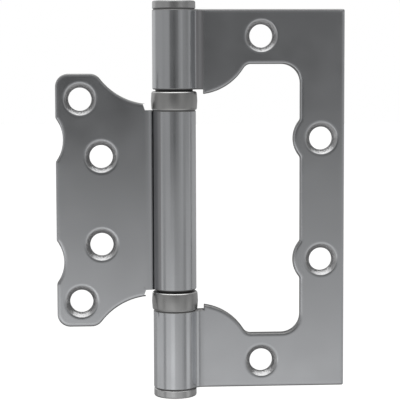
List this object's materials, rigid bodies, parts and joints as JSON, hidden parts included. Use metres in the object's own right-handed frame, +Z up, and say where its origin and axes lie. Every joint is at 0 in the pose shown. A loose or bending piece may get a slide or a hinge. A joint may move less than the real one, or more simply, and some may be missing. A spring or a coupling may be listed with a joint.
{
  "type": "non-mortise hinge",
  "caption": "Flat steel hinge whose scalloped inner leaf nests in the outer leaf's cut-out, with rolled knuckles, bearing rings and end caps.",
  "frame": {"origin": "on the pin axis, midway between the ends of the frame leaf", "axes": "+Z up along the pin, -Y out of the countersunk faces, +X along the frame leaf, with the hinge open flat"},
  "size_m": [0.076, 0.0122, 0.1044],
  "materials": {
    "satin_sheet": "satin plated sheet steel",
    "satin_turned": "satin plated turned steel",
    "bright_steel": "ground steel",
    "ball_steel": "polished hardened steel"
  },
  "bodies": {
    "frame_side": {"frame_leaf": "satin_sheet", "hinge_pin": "bright_steel", "top_cap": "satin_turned", "bottom_cap": "satin_turned", "upper_top_race": "bright_steel", "lower_bearing_shell": "satin_turned", "lower_bottom_race": "bright_steel"},
    "door_side": {"door_leaf": "satin_sheet", "upper_bearing_shell": "satin_turned", "upper_bottom_race": "bright_steel", "lower_top_race": "bright_steel"},
    "upper_balls": {"upper_ball_01": "ball_steel", "upper_ball_02": "ball_steel", "upper_ball_03": "ball_steel", "upper_ball_04": "ball_steel", "upper_ball_05": "ball_steel", "upper_ball_06": "ball_steel", "upper_ball_07": "ball_steel", "upper_ball_08": "ball_steel", "upper_ball_09": "ball_steel", "upper_ball_10": "ball_steel", "upper_ball_11": "ball_steel", "upper_ball_12": "ball_steel", "upper_ball_13": "ball_steel"},
    "lower_balls": {"lower_ball_01": "ball_steel", "lower_ball_02": "ball_steel", "lower_ball_03": "ball_steel", "lower_ball_04": "ball_steel", "lower_ball_05": "ball_steel", "lower_ball_06": "ball_steel", "lower_ball_07": "ball_steel", "lower_ball_08": "ball_steel", "lower_ball_09": "ball_steel", "lower_ball_10": "ball_steel", "lower_ball_11": "ball_steel", "lower_ball_12": "ball_steel", "lower_ball_13": "ball_steel"}
  },
  "joints": [
    {"name": "leaf_swing", "type": "hinge", "parent": "frame_side", "child": "door_side", "pos_m": [0, 0, 0], "axis": [0, 0, 1], "range_deg": [0, 180]},
    {"name": "upper_balls_roll", "type": "hinge", "parent": "frame_side", "child": "upper_balls", "pos_m": [0, 0, 0.0263], "axis": [0, 0, 1], "range_deg": [0, 90]},
    {"name": "lower_balls_roll", "type": "hinge", "parent": "frame_side", "child": "lower_balls", "pos_m": [0, 0, -0.0265], "axis": [0, 0, 1], "range_deg": [0, 90]}
  ],
  "couplings": [
    {"joint": "upper_balls_roll", "follows": "leaf_swing", "ratio": 0.5},
    {"joint": "lower_balls_roll", "follows": "leaf_swing", "ratio": 0.5}
  ]
}
